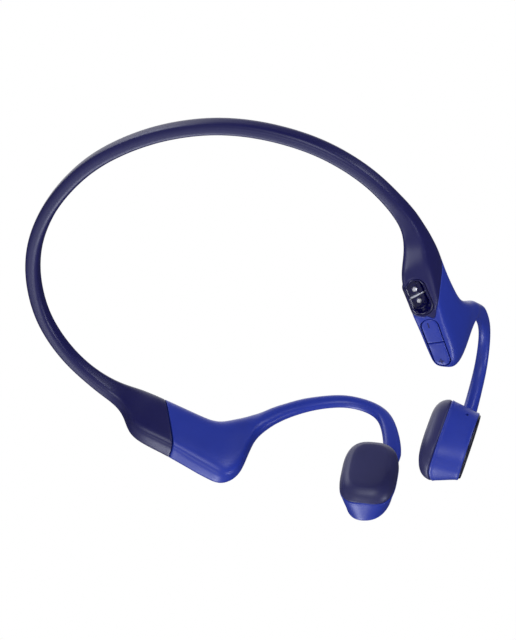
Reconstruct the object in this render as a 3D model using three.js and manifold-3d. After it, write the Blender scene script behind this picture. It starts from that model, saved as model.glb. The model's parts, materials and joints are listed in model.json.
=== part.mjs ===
// Bone conduction headphones: a sprung band that runs behind the neck, a pod behind each ear,
// a hook over each ear and a transducer in front of each ear.
// Millimetres. +X is the wearer's right, +Y is forward, +Z is up.
import * as THREE from 'three';
import { mergeVertices } from 'three/addons/utils/BufferGeometryUtils.js';
import Module from 'manifold-3d';

const wasm = await Module();
wasm.setup();

// ---- Driving dimensions ----------------------------------------------------------------------

const GAP = 0.3;                        // clearance between two pieces that meet
const RIGHT = 1;
const LEFT = -1;
const degrees = THREE.MathUtils.degToRad;

// Plan of the right half, from the nape forwards. The band leaves the nape across the wearer.
const PLAN = [
  [14.3, 1.3], [28.3, 5.0], [41.5, 11.4], [52.4, 20.5], [60.9, 32.4], [65.0, 46.2], [64.3, 60.2],
  [61.7, 67.4], [54.9, 80.9], [48.5, 95.2], [45.6, 100.6], [41.7, 104.4], [36.0, 110.6],
  [28.6, 118.3], [21.3, 125.6], [16.6, 130.6], [14.2, 133.4],
];

// Stations of one arm. Each has the run along the plan and the height of the upper edge, the same
// for the lower edge, half the thickness, and the tilt in degrees of the underside facet. The
// right pod has the whole tilt, to carry the charging port, and the left pod only a share of it.
const STATIONS = [
  [0, 2.1, 0, -2.2, 2.0, 0],
  [22, 2.1, 22, -2.2, 2.0, 0],
  [44, 2.1, 44, -2.2, 2.0, 0],
  [70, 2.1, 70, -2.3, 2.0, 0],
  [92, 2.4, 92, -2.2, 2.05, 0],
  [100.3, 3.2, 100.2, -2.5, 2.15, 10],
  [106.0, 4.1, 105.6, -3.3, 2.3, 25],
  [109.6, 4.7, 109.6, -5.9, 2.7, 38],
  [112.1, 4.8, 112.6, -10.3, 3.2, 42],
  [114.8, 4.6, 116.8, -11.8, 3.9, 40],
  [118.0, 4.5, 126.9, -12.0, 4.1, 27],
  [127.0, 4.7, 133.0, -12.1, 4.1, 14],
  [134.6, 5.6, 139.2, -12.3, 4.2, 7],
  [139.6, 10.0, 144.2, -11.9, 4.0, 0],
  [142.3, 13.3, 147.4, -7.0, 3.2, 0],
  [144.2, 15.6, 147.4, 0.9, 2.7, 0],
  [147.0, 18.3, 147.9, 9.2, 2.4, 0],
  [151.0, 22.2, 153.1, 17.7, 1.95, 0],
  [158.2, 28.1, 161.4, 25.1, 1.65, 0],
  [169.6, 32.6, 170.8, 28.9, 1.65, 0],
  [182.3, 29.7, 179.5, 26.6, 1.8, 0],
  [190.1, 17.2, 184.7, 16.6, 1.95, 0],
  [191.0, 8.6, 184.9, 11.0, 2.0, 0],
];
const BAND_HINGE = 2;                   // station where the band flexes
const POD_START = 8;
const SEAM = 10;                        // station where the sleeve meets the front shell
const CAVITY_END = 13;
const HOOK_HINGE = 17;                  // station where the hook flexes
const HOOK_END = 22;
const BAND_CUT = 1.1;                   // gap left in the band at each hinge
const HOOK_CUT = 0.65;                  // gap left in the hook at each hinge
const SEAM_CUT = 0.3;
// On the underside facet the seam bulges forwards, round the front end of the charging port.
const SEAM_BULGE = 0.5;                 // in stations
const SEAM_BULGE_SPAN = 0.8;
const SEAM_BULGE_MIDDLE = degrees(-62);
const SEAM_BULGE_WIDTH = degrees(28);
const UNDERSIDE_TOE = 0.85;             // where the underside facet starts, in half thicknesses
const LEFT_SHARE = 0.2;
const WALL = 1.2;                       // pod wall
const BORE_HALF_HEIGHT = 1.5;
const BORE_HALF_WIDTH = 0.95;
const RING_SIDES = 12;

const WIRE_RADIUS = 0.5;                // titanium wire
const WIRE_RISE = 0.7;
const CABLE_RADIUS = 0.35;
const CABLE_RISE = -0.7;
const WIRE_SIDES = 6;
const CHANNEL_RADIUS = 1.45;            // channel for the wires in the root of the hook
// Run and height of that channel, from the pod's cavity up to the hook's flexing station.
const ROOT_ROUTE = [
  [139.0, -3.0], [142.4, 2.5], [144.7, 7.5], [146.9, 13.0], [149.4, 16.9], [151.8, 19.7],
];
const ROOT_STEPS = 10;

const POD_RUN = 122.8;                  // run of the pod frame's origin
const POD_YAW = degrees(25.4);          // the pods converge towards the face

const KEYS = { y: 13.4, z: -11.25, x: 0.35, tilt: degrees(11), length: 15.2, width: 4.6 };
const KEY_THICKNESS = 1.0;
const KEY_TRAVEL_GAP = 0.45;
const PORT = { y: -1.5, z: -9.35, x: -0.35, tilt: degrees(38), length: 11.2, width: 5.8 };
const PORT_DEPTH = 1.3;
const PORT_BODY = 2.2;
const PORT_RIM = 0.75;
const CONTACT_RADIUS = 0.65;
const CONTACT_PITCH = 4.0;

const EAR = { x: 14.8, y: 126.0, z: -0.05 };   // centre of the right pad's rim
const EAR_YAW = degrees(43.5);          // the pads face inwards and back
const EAR_ROLL = degrees(8.8);
const EAR_HALF = [8.25, 11.8];          // half width and half height at the pad's rim
const EAR_SIDES = 24;
const EAR_POWER = [3.0, 2.3];           // squareness at the rim and at the back
const RIM_DIP = 1.1;                    // the pad's skirt reaches further back at the two sides
const RIM_DIP_POWER = 1.3;
const BACK_LEAN = 0.136;                // slope of the back, deeper on the side by the face
const PAD_RISE = 3.8;
const CUP_DEPTH = 7.75;                 // to the seat of the cover
const CUP_LIP = 0.8;                    // the wall stands proud of the seat
const CUP_WALL = 0.9;
const COVER_FRONT = -8.2;
const COVER_BACK = -9.1;

// ---- Materials -------------------------------------------------------------------------------

const finish = (color, roughness, metalness = 0) =>
  new THREE.MeshStandardMaterial({ color, roughness, metalness });
const navySilicone = () => finish(0x23214e, 0.62);
const blueShell = () => finish(0x2b3b9c, 0.42);
const padSilicone = () => finish(0x34315c, 0.55);
const coverPlastic = () => finish(0x14143a, 0.3);
const portPlastic = () => finish(0x0d0f4a, 0.12);
const titanium = () => finish(0x9a9a9e, 0.35, 1);
const steel = () => finish(0xb8bbc0, 0.3, 1);
const gold = () => finish(0xd9d9de, 0.2, 1);
const copper = () => finish(0xb4683a, 0.35, 1);
const ferrite = () => finish(0x3a3a40, 0.5, 0.6);
const cableJacket = () => finish(0x1a1a1c, 0.6);
const circuitBoard = () => finish(0x14502c, 0.5);
const chipResin = () => finish(0x111114, 0.5);
const ceramic = () => finish(0xdadad2, 0.5);
const batteryFoil = () => finish(0xa8abb0, 0.35, 0.8);
const foam = () => finish(0x2c2c2e, 0.9);

// ---- Solids ----------------------------------------------------------------------------------

// Joins shared corners, drops slivers and turns the faces outwards.
function solid(geometry) {
  const bare = new THREE.BufferGeometry();
  bare.setAttribute('position', geometry.getAttribute('position').clone());
  bare.setIndex(geometry.getIndex());
  const merged = mergeVertices(bare, 1e-4);
  const corners = merged.getAttribute('position');
  const index = [];
  const all = merged.getIndex().array;
  for (let i = 0; i < all.length; i += 3) {
    const [a, b, c] = [all[i], all[i + 1], all[i + 2]];
    if (a !== b && b !== c && c !== a) index.push(a, b, c);
  }
  const at = (i) => new THREE.Vector3().fromBufferAttribute(corners, i);
  let volume = 0;
  for (let i = 0; i < index.length; i += 3) {
    volume += at(index[i]).dot(at(index[i + 1]).cross(at(index[i + 2])));
  }
  if (volume < 0) index.reverse();
  merged.setIndex(index);
  return merged;
}

function toManifold(geometry) {
  const closed = solid(geometry);
  const mesh = new wasm.Mesh({
    numProp: 3,
    vertProperties: new Float32Array(closed.getAttribute('position').array),
    triVerts: new Uint32Array(closed.getIndex().array),
  });
  return new wasm.Manifold(mesh);
}

function fromManifold(manifold) {
  const mesh = manifold.getMesh();
  const geometry = new THREE.BufferGeometry();
  geometry.setAttribute('position', new THREE.BufferAttribute(mesh.vertProperties, 3));
  geometry.setIndex(Array.from(mesh.triVerts));
  return geometry;
}

const cut = (body, tools) =>
  fromManifold(tools.reduce((rest, tool) => rest.subtract(toManifold(tool)), toManifold(body)));
const join = (a, b) => fromManifold(toManifold(a).add(toManifold(b)));

// A closed surface swept round an axis. Each profile point names where its ring lies:
// place(point, angle) returns a Vector3. The profile closes on itself or ends on the axis.
function swept(profile, sides, place) {
  const stand = profile.map((_, i) => new THREE.Vector2(1, i));
  const geometry = new THREE.LatheGeometry(stand, sides);
  const position = geometry.getAttribute('position');
  for (let i = 0; i < position.count; i += 1) {
    const angle = (Math.floor(i / profile.length) % sides) / sides * 2 * Math.PI;
    const p = place(profile[i % profile.length], angle);
    position.setXYZ(i, p.x, p.y, p.z);
  }
  return solid(geometry);
}

// Half height h and half width w of a rounded section at an angle; a higher power is squarer.
function rounded(w, h, power, angle) {
  const c = Math.cos(angle);
  const s = Math.sin(angle);
  return [
    w * Math.sign(c) * Math.abs(c) ** (2 / power),
    h * Math.sign(s) * Math.abs(s) ** (2 / power),
  ];
}

function box(width, depth, height, x, y, z) {
  return new THREE.BoxGeometry(width, depth, height).translate(x, y, z);
}

function disc(radius, bottom, top, sides = 20) {
  const geometry = new THREE.CylinderGeometry(radius, radius, top - bottom, sides);
  return geometry.rotateX(Math.PI / 2).translate(0, 0, (top + bottom) / 2);
}

// A bar with round ends, lengthwise along Y, from z = bottom to z = top.
function stadium(length, width, bottom, top, sides = 8) {
  const r = width / 2;
  const straight = length / 2 - r;
  const shape = new THREE.Shape();
  shape.absarc(0, straight, r, 0, Math.PI);
  shape.absarc(0, -straight, r, Math.PI, 2 * Math.PI);
  shape.closePath();
  const options = { depth: top - bottom, bevelEnabled: false, curveSegments: sides };
  return new THREE.ExtrudeGeometry(shape, options).translate(0, 0, bottom);
}

// ---- The arm as one ribbon -------------------------------------------------------------------

const planPoints = [
  ...PLAN.map(([x, y]) => new THREE.Vector3(-x, y, 0)).reverse(),
  new THREE.Vector3(0, 0, 0),
  ...PLAN.map(([x, y]) => new THREE.Vector3(x, y, 0)),
];
const plan = new THREE.CatmullRomCurve3(planPoints, false, 'centripetal');
plan.arcLengthDivisions = 1200;
const planLength = plan.getLength();
const planAt = (run) => plan.getPointAt(run / planLength + 0.5);
const headingAt = (run) => plan.getTangentAt(run / planLength + 0.5);

const edge = (pick) => new THREE.CatmullRomCurve3(STATIONS.map(pick), false, 'catmullrom', 0.5);
const upperEdge = edge(([run, height, , , half]) => new THREE.Vector3(run, height, half));
const lowerEdge = edge(([, , run, height, , tilt]) => new THREE.Vector3(run, height, tilt));

// The ribbon's section at a station: its middle, its lengthwise axis and its half sizes.
function stationAt(station) {
  const u = Math.abs(station) / (STATIONS.length - 1);
  const upper = upperEdge.getPoint(u);
  const lower = lowerEdge.getPoint(u);
  const along = new THREE.Vector2(upper.x - lower.x, upper.y - lower.y);
  return {
    sign: station < 0 ? -1 : 1,
    run: (upper.x + lower.x) / 2,
    height: (upper.y + lower.y) / 2,
    halfHeight: along.length() / 2,
    axis: along.normalize(),
    half: upper.z,
    tilt: degrees(Math.max(lower.z, 0)),
  };
}

// A point of the section, p along its axis and o outwards.
function ribbonPoint(at, p, o) {
  const run = (at.run + at.axis.x * p) * at.sign;
  const base = planAt(run);
  const heading = headingAt(run);
  return new THREE.Vector3(
    base.x + heading.y * o,
    base.y - heading.x * o,
    at.height + at.axis.y * p,
  );
}

const smooth = (value, from, to) => THREE.MathUtils.smoothstep(value, from, to);
const mix = THREE.MathUtils.lerp;

function squareness(station) {
  const t = Math.abs(station);
  return 2.4 + 1.2 * smooth(t, POD_START - 2, POD_START) - 1.1 * smooth(t, 13, HOOK_HINGE);
}

// The section with its underside cut off along the tilted facet.
function facetted(w, h, power, tilt, angle) {
  const [o, p] = rounded(w, h, power, angle);
  const slope = Math.tan(tilt);
  const limit = -h + UNDERSIDE_TOE * w * slope;
  const reach = p - o * slope;
  const k = reach < limit ? limit / reach : 1;
  return [o * k, p * k];
}

// Follows the seam's bulge: near the seam, points of the underside slide forwards on the ribbon.
function bulged(station, angle, share) {
  const along = Math.exp(-(((station - SEAM) / SEAM_BULGE_SPAN) ** 2));
  const turn = 1 - Math.cos(angle - SEAM_BULGE_MIDDLE);
  const round = Math.exp((-2 * turn) / SEAM_BULGE_WIDTH ** 2);
  return station + SEAM_BULGE * share * along * round;
}

function outerPoint(ringStation, angle, share) {
  const station = bulged(ringStation, angle, share);
  const at = stationAt(station);
  const [o, p] = facetted(at.half, at.halfHeight, squareness(station), at.tilt * share, angle);
  return ribbonPoint(at, p, o);
}

// The hollow is a narrow bore in the band and the hook, and the cavity in the pod.
function innerPoint(ringStation, angle, share) {
  const station = bulged(ringStation, angle, share);
  const at = stationAt(station);
  const t = Math.abs(station);
  const pod = smooth(t, POD_START - 1, POD_START + 1) * (t > HOOK_HINGE ? 0 : 1);
  const w = mix(BORE_HALF_WIDTH, at.half - WALL, pod);
  const h = mix(BORE_HALF_HEIGHT, at.halfHeight - WALL, pod);
  const tilt = at.tilt * pod * share;
  const [o, p] = facetted(w, h, mix(2, squareness(station), pod), tilt, angle);
  return ribbonPoint(at, p, o);
}

// Moves a station along the ribbon by a distance in millimetres.
function shifted(station, distance) {
  const near = stationAt(station);
  const far = stationAt(station + 0.01);
  const step = Math.hypot(far.run - near.run, far.height - near.height) / 0.01;
  return station + distance / step;
}

function stepsPerStation(station) {
  const t = Math.abs(station);
  if (t < 4) return 4;
  return t < 16 ? 2 : 3;
}

function stationsBetween(from, to) {
  const list = [from];
  for (let whole = Math.floor(from); whole < to; whole += 1) {
    const count = stepsPerStation(whole + 0.5);
    for (let i = 0; i < count; i += 1) {
      const station = whole + i / count;
      if (station > from + 0.08 && station < to - 0.08) list.push(station);
    }
  }
  list.push(to);
  return list;
}

function ribbonShell(from, to, share = 1) {
  const list = stationsBetween(from, to);
  const profile = [
    ...list.map((station) => ({ station, place: outerPoint })),
    ...list.toReversed().map((station) => ({ station, place: innerPoint })),
  ];
  profile.push(profile[0]);
  return swept(profile, RING_SIDES, (point, angle) => point.place(point.station, angle, share));
}

// The front shell: a cup with the pod's cavity at the back and a solid root for the hook.
function frontShell(from, to, share) {
  const middle = (station) => ribbonPoint(stationAt(station), 0, 0);
  const profile = [
    { station: to, place: middle },
    ...stationsBetween(from, to).toReversed().map((station) => ({ station, place: outerPoint })),
    ...stationsBetween(from, CAVITY_END).map((station) => ({ station, place: innerPoint })),
    { station: CAVITY_END, place: middle },
  ];
  return swept(profile, RING_SIDES, (point, angle) => point.place(point.station, angle, share));
}

// A round bar along a row of points.
function wireThrough(points, radius, sides = WIRE_SIDES) {
  const path = new THREE.CatmullRomCurve3(points, false, 'centripetal');
  const shape = new THREE.Shape();
  shape.absarc(0, 0, radius, 0, 2 * Math.PI);
  const options = {
    steps: Math.max(4, Math.round(path.getLength() / 4.5)),
    extrudePath: path,
    curveSegments: sides / 2,
  };
  return new THREE.ExtrudeGeometry(shape, options);
}

// A wire that follows the ribbon's middle at a height in the bore.
function strand(from, to, rise, radius, tail = []) {
  const points = stationsBetween(from, to).map((station) =>
    ribbonPoint(stationAt(station), rise, 0));
  return wireThrough([...points, ...tail], radius);
}

// A wire that climbs from the pod's cavity through the root of the hook.
function rootStrand(rise, radius, sides, overrun = 0) {
  const route = new THREE.SplineCurve(ROOT_ROUTE.map((p) => new THREE.Vector2(...p)));
  const points = [];
  for (let i = 0; i <= ROOT_STEPS; i += 1) {
    const point = route.getPoint(i / ROOT_STEPS);
    const heading = route.getTangent(i / ROOT_STEPS);
    const run = point.x - heading.y * rise;
    const base = planAt(run);
    points.push(new THREE.Vector3(base.x, base.y, point.y + heading.x * rise));
  }
  if (overrun > 0) {
    const [before, last] = points.slice(-2);
    points.push(last.clone().sub(before).setLength(overrun).add(last));
  }
  return wireThrough(points, radius, sides);
}

// ---- Rounded rectangular pieces of a transducer -----------------------------------------------

// A dished piece with rounded rectangular rings. Each profile entry is inset x, inset y and z,
// then how much of the rim's dip and of the back's lean the ring follows.
function dished(profile) {
  return swept(profile, EAR_SIDES, ([insetX, insetY, z, dip = 0, lean = 0], angle) => {
    const w = Math.max(EAR_HALF[0] - insetX, 0);
    const h = Math.max(EAR_HALF[1] - insetY, 0);
    const power = mix(...EAR_POWER, Math.min(Math.max(-z / CUP_DEPTH, 0), 1));
    const [x, y] = w > 0 ? rounded(w, h, power, angle) : [0, 0];
    const dipped = dip * RIM_DIP * (Math.abs(x) / EAR_HALF[0]) ** RIM_DIP_POWER;
    return new THREE.Vector3(x, y, z - dipped - lean * BACK_LEAN * x);
  });
}
const AXIS = 99;                        // an inset past the middle puts the ring on the axis

// The frame of one transducer: X across it, Y up it and Z out of its pad.
function earFrame(side) {
  const facing = new THREE.Vector3(-side * Math.sin(EAR_YAW), -Math.cos(EAR_YAW), 0);
  const up = new THREE.Vector3(0, 0, 1);
  const frame = new THREE.Matrix4().makeBasis(up.clone().cross(facing), up, facing);
  frame.multiply(new THREE.Matrix4().makeRotationZ(-side * EAR_ROLL));
  return frame.setPosition(side * EAR.x, EAR.y, EAR.z);
}

// The room that the cup takes out of the hook's lower end.
function cupRoom() {
  const room = dished([
    [AXIS, AXIS, -CUP_DEPTH - 3],
    [1.6 - GAP, 1.3 - GAP, -CUP_DEPTH - 3, 0, 1], [0.55 - GAP, 0.45 - GAP, -3.9, 0.2, 0.4],
    [-GAP, -GAP, 0, 1], [-GAP, -GAP, PAD_RISE], [AXIS, AXIS, PAD_RISE],
  ]);
  return room.applyMatrix4(earFrame(RIGHT));
}

// ---- Placing -----------------------------------------------------------------------------------

const group = new THREE.Group();

function mirrored(geometry) {
  const copy = geometry.clone().scale(-1, 1, 1);
  return solid(copy);
}

function add(parent, name, geometry, material) {
  const mesh = new THREE.Mesh(solid(geometry), material);
  mesh.name = name;
  parent.add(mesh);
}

// A piece of one side is drawn for the right and mirrored for the left.
function addSided(parent, side, name, geometry, material) {
  const prefix = side === RIGHT ? 'right' : 'left';
  const shape = side === RIGHT ? geometry : mirrored(geometry);
  add(parent, `${prefix}_${name}`, shape, material);
}

// ---- Band, sleeves, front shells and hooks -----------------------------------------------------

const hinge = shifted(BAND_HINGE, -BAND_CUT / 2);
add(group, 'band_sleeve_back', ribbonShell(-hinge, hinge), navySilicone());
add(group, 'band_wire_back', strand(-hinge, hinge, WIRE_RISE, WIRE_RADIUS), titanium());
add(group, 'band_cable_back', strand(-hinge, hinge, CABLE_RISE, CABLE_RADIUS), cableJacket());

// A frame on a facet of the pod: Z points out of the facet and Y runs forward along the pod.
function facetFrame({ x, y, z, tilt }) {
  const matrix = new THREE.Matrix4().makeRotationY(Math.PI - tilt);
  return matrix.setPosition(x, y, z);
}

const podMatrix = new THREE.Matrix4()
  .makeRotationZ(POD_YAW)
  .setPosition(planAt(POD_RUN).setZ(0));

function portOpening() {
  const tool = stadium(PORT.length + 2 * GAP, PORT.width + 2 * GAP, -4, 6);
  return tool.applyMatrix4(facetFrame(PORT)).applyMatrix4(podMatrix);
}

function keyOpening() {
  const tool = stadium(KEYS.length + 2 * GAP, KEYS.width + 2 * GAP, -2.4, 4);
  return tool.applyMatrix4(facetFrame(KEYS)).applyMatrix4(podMatrix);
}

for (const side of [RIGHT, LEFT]) {
  const sleeveFrom = shifted(BAND_HINGE, BAND_CUT / 2);
  const sleeveTo = shifted(SEAM, -SEAM_CUT / 2);
  const share = side === RIGHT ? 1 : LEFT_SHARE;
  const sleeve = ribbonShell(sleeveFrom, sleeveTo, share);
  const openings = side === RIGHT ? [portOpening(), keyOpening()] : [];
  addSided(group, side, 'sleeve', cut(sleeve, openings), navySilicone());

  const shellFrom = shifted(SEAM, SEAM_CUT / 2);
  const shellTo = shifted(HOOK_HINGE, -HOOK_CUT / 2);
  const shell = frontShell(shellFrom, shellTo, share);
  const channel = rootStrand(0, CHANNEL_RADIUS, 12, 3);
  addSided(group, side, 'front_shell', cut(shell, [channel, ...openings]), blueShell());

  const hookFrom = shifted(HOOK_HINGE, HOOK_CUT / 2);
  const hook = cut(ribbonShell(hookFrom, HOOK_END), [cupRoom()]);
  addSided(group, side, 'hook_skin', hook, blueShell());

  const bandEnd = POD_START + 0.3;
  const strands = [
    ['band_wire', sleeveFrom, bandEnd, WIRE_RISE, WIRE_RADIUS, titanium],
    ['band_cable', sleeveFrom, bandEnd, CABLE_RISE, CABLE_RADIUS, cableJacket],
    ['hook_wire', hookFrom, HOOK_END, WIRE_RISE, WIRE_RADIUS, titanium],
    ['hook_cable', hookFrom, HOOK_END, CABLE_RISE, CABLE_RADIUS, cableJacket],
  ];
  for (const [name, from, to, rise, radius, material] of strands) {
    const last = ribbonPoint(stationAt(to), rise, 0);
    const tail = to === HOOK_END ? [last.clone().setZ(last.z - 1.2)] : [];
    addSided(group, side, name, strand(from, to, rise, radius, tail), material());
  }
  addSided(group, side, 'root_wire', rootStrand(WIRE_RISE, WIRE_RADIUS, WIRE_SIDES), titanium());
  const rootCable = rootStrand(CABLE_RISE, CABLE_RADIUS, WIRE_SIDES);
  addSided(group, side, 'root_cable', rootCable, cableJacket());
}

// ---- Pods --------------------------------------------------------------------------------------

function podGroup(side) {
  const pod = new THREE.Group();
  const origin = planAt(POD_RUN);
  pod.position.set(side * origin.x, origin.y, 0);
  pod.rotation.z = side * POD_YAW;
  group.add(pod);
  return pod;
}

const leftPod = podGroup(LEFT);
const BATTERY = { length: 20, height: 7.4, thickness: 4.0, x: -0.3, y: 3.5, z: -2.3 };
const battery = box(
  BATTERY.thickness, BATTERY.length, BATTERY.height, BATTERY.x, BATTERY.y, BATTERY.z,
);
addSided(leftPod, LEFT, 'battery', battery, batteryFoil());
const protectionBoard = box(3.2, 0.8, 6, BATTERY.x, BATTERY.y + BATTERY.length / 2 + 0.8, BATTERY.z);
addSided(leftPod, LEFT, 'battery_board', protectionBoard, circuitBoard());
const foamPad = box(3.0, 16, 0.8, BATTERY.x - 0.4, BATTERY.y + 1, BATTERY.z - 4.5);
addSided(leftPod, LEFT, 'battery_foam', foamPad, foam());

const rightPod = podGroup(RIGHT);
const BOARD = { x: -1.3, y: 4.5, z: -1.8, length: 18, height: 6.6, thickness: 0.8 };
const mainBoard = box(BOARD.thickness, BOARD.length, BOARD.height, BOARD.x, BOARD.y, BOARD.z);
addSided(rightPod, RIGHT, 'main_board', mainBoard, circuitBoard());
const chipX = BOARD.x + BOARD.thickness / 2 + 0.8;
addSided(rightPod, RIGHT, 'bluetooth_chip', box(1.0, 5, 4.6, chipX, 1.5, BOARD.z), chipResin());
addSided(rightPod, RIGHT, 'antenna', box(1.0, 2, 6, chipX, 11.5, BOARD.z), ceramic());

// Volume keys: two half stadiums that split across the middle, each on its own switch.
function volumeKey(end) {
  const whole = stadium(KEYS.length, KEYS.width, -KEY_THICKNESS, 0);
  const half = KEYS.length / 2;
  const keep = box(KEYS.width * 2, half, 6, 0, end * (half / 2 + GAP / 2), 0);
  return fromManifold(toManifold(whole).intersect(toManifold(keep)));
}
const keySwitchY = KEYS.length / 4;
const switchTop = -KEY_THICKNESS - KEY_TRAVEL_GAP;
const switchHeight = 0.8;
const keyFrame = facetFrame(KEYS);
for (const [name, end] of [['down', -1], ['up', 1]]) {
  const key = volumeKey(end).applyMatrix4(keyFrame);
  add(rightPod, `volume_${name}_key`, key, blueShell());
  const tact = box(2.6, 2.8, switchHeight, 0, end * keySwitchY, switchTop - switchHeight / 2);
  add(rightPod, `volume_${name}_switch`, tact.applyMatrix4(keyFrame), chipResin());
}
const keyBoardTop = switchTop - switchHeight - GAP;
const keyBoard = box(2.8, KEYS.length - 3, 0.4, 0, 0, keyBoardTop - 0.2);
add(rightPod, 'key_board', keyBoard.applyMatrix4(keyFrame), circuitBoard());

// Charging port: a glossy stadium cup with two contacts and a bar between them.
const portFrame = facetFrame(PORT);
const portInside = stadium(PORT.length - 2 * PORT_RIM, PORT.width - 2 * PORT_RIM, -PORT_DEPTH, 1);
const contactHole = (end) =>
  disc(CONTACT_RADIUS + GAP, -4, 1, 12).translate(0, end * CONTACT_PITCH / 2, 0);
const portBody = cut(
  stadium(PORT.length, PORT.width, -PORT_BODY, 0),
  [portInside, contactHole(-1), contactHole(1)],
);
add(rightPod, 'charging_port', portBody.applyMatrix4(portFrame), portPlastic());
for (const [name, end] of [['rear', -1], ['front', 1]]) {
  const contact = disc(CONTACT_RADIUS, -PORT_BODY, -PORT_DEPTH + 0.4, 12);
  contact.translate(0, end * CONTACT_PITCH / 2, 0);
  add(rightPod, `${name}_contact`, contact.applyMatrix4(portFrame), gold());
}
const bar = box(PORT.width - 2 * PORT_RIM - 2 * GAP, 0.5, 0.5, 0, 0, -PORT_DEPTH + GAP + 0.25);
add(rightPod, 'port_bar', bar.applyMatrix4(portFrame), steel());

// ---- Transducers -------------------------------------------------------------------------------

function earPad() {
  return dished([
    [AXIS, AXIS, PAD_RISE - 1.3],
    [3.9, 4.0, PAD_RISE - 1.3], [1.6, 1.6, 1.4, 0.4], [1.0, 1.0, GAP / 2, 1],
    [0.0, 0.0, GAP / 2, 1], [0.1, 0.1, 0.9, 0.6], [1.0, 1.1, 2.5, 0.15], [2.3, 2.5, 3.55],
    [3.05, 3.3, PAD_RISE], [AXIS, AXIS, PAD_RISE],
  ]);
}

function cup() {
  const floor = -CUP_DEPTH + CUP_WALL;
  return dished([
    [AXIS, AXIS, -CUP_DEPTH],
    [1.75, 1.45, -CUP_DEPTH, 0, 1], [1.75, 1.4, -CUP_DEPTH - CUP_LIP, 0, 1],
    [1.4, 1.1, -CUP_DEPTH - CUP_LIP, 0, 1], [0.55, 0.45, -3.9, 0.2, 0.4],
    [0.0, 0.0, -GAP / 2, 1],
    [CUP_WALL, CUP_WALL, -GAP / 2, 1], [1.5, 1.4, -3.8, 0.2, 0.4], [2.6, 2.3, floor, 0, 1],
    [AXIS, AXIS, floor],
  ]);
}

function plate(inset, bottom, top) {
  return dished([
    [AXIS, AXIS, bottom], [inset, inset, bottom], [inset, inset, top], [AXIS, AXIS, top],
  ]);
}

function outerCover() {
  const middle = (COVER_FRONT + COVER_BACK) / 2;
  return dished([
    [AXIS, AXIS, COVER_BACK], [2.4, 2.1, COVER_BACK, 0, 1], [2.05, 1.75, middle, 0, 1],
    [2.05, 1.75, COVER_FRONT, 0, 1], [AXIS, AXIS, COVER_FRONT],
  ]);
}

function ring(outer, inner, bottom, top) {
  const profile = [[outer, bottom], [outer, top], [inner, top], [inner, bottom], [outer, bottom]];
  return swept(profile, 20, ([r, z], angle) =>
    new THREE.Vector3(r * Math.cos(angle), r * Math.sin(angle), z));
}

const YOKE = { radius: 5.5, inner: 4.95, bottom: -4.9, floor: -4.1, top: -1.95 };
function yoke() {
  const { radius, inner, bottom, floor, top } = YOKE;
  const profile = [[0, bottom], [radius, bottom], [radius, top], [inner, top], [inner, floor],
    [0, floor]];
  return swept(profile, 20, ([r, z], angle) =>
    new THREE.Vector3(r * Math.cos(angle), r * Math.sin(angle), z));
}

const PLUNGER_RADIUS = 0.8;
const PLUNGER_END = -6.0;
const BUTTON_SWITCH = { y: -8.3, back: -5.6, front: -4.8 };
const WIRE_HOLE = { x: -3.9, z: -4.8, width: 4.2, depth: 2.8 };
const MIC = { x: 3.2, y: 8.2 };

for (const side of [RIGHT, LEFT]) {
  const ear = new THREE.Group();
  ear.applyMatrix4(earFrame(side));
  group.add(ear);

  const wireHole = box(WIRE_HOLE.width, 7, WIRE_HOLE.depth, WIRE_HOLE.x, 10.8, WIRE_HOLE.z);
  const plungerHole = disc(PLUNGER_RADIUS + GAP, -9, -5, 12).translate(0, BUTTON_SWITCH.y, 0);
  const micHole = disc(0.5, 0, 6, 10).rotateX(-Math.PI / 2).translate(MIC.x, MIC.y, -2.6);
  const holes = side === RIGHT ? [wireHole, micHole] : [wireHole, plungerHole];
  addSided(ear, side, 'cup', cut(cup(), holes), blueShell());
  addSided(ear, side, 'ear_pad', earPad(), padSilicone());
  addSided(ear, side, 'driver_panel', plate(1.6, -1.0, -0.25), chipResin());
  addSided(ear, side, 'voice_coil', ring(4.65, 3.9, -3.2, -1.3), copper());
  addSided(ear, side, 'driver_yoke', yoke(), steel());
  addSided(ear, side, 'driver_magnet', disc(3.4, YOKE.floor + GAP, -2.1), ferrite());
  addSided(ear, side, 'suspension_plate', ring(5.2, 2.6, -5.75, -5.5), steel());
  if (side === RIGHT) {
    addSided(ear, side, 'outer_cover', outerCover(), coverPlastic());
    addSided(ear, side, 'microphone', box(2.6, 1.8, 1.8, MIC.x, MIC.y, -2.6), chipResin());
  } else {
    const plunger = disc(PLUNGER_RADIUS, COVER_FRONT - 0.2, PLUNGER_END, 12);
    plunger.translate(0, BUTTON_SWITCH.y, 0);
    addSided(ear, side, 'button_cover', join(outerCover(), plunger), coverPlastic());
    const { y, back, front } = BUTTON_SWITCH;
    const tact = box(2.6, 2.6, front - back, 0, y, (front + back) / 2);
    addSided(ear, side, 'button_switch', tact, chipResin());
  }
}

// The origin is the middle of the underside of the whole object.
group.updateMatrixWorld(true);
const bounds = new THREE.Box3().setFromObject(group, true);
const centre = bounds.getCenter(new THREE.Vector3());
group.position.set(-centre.x, -centre.y, -bounds.min.z);

export default group;
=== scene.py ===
import json
import math

import bmesh
import bpy
import numpy as np
from mathutils import Matrix, Vector
from mathutils.bvhtree import BVHTree


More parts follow.
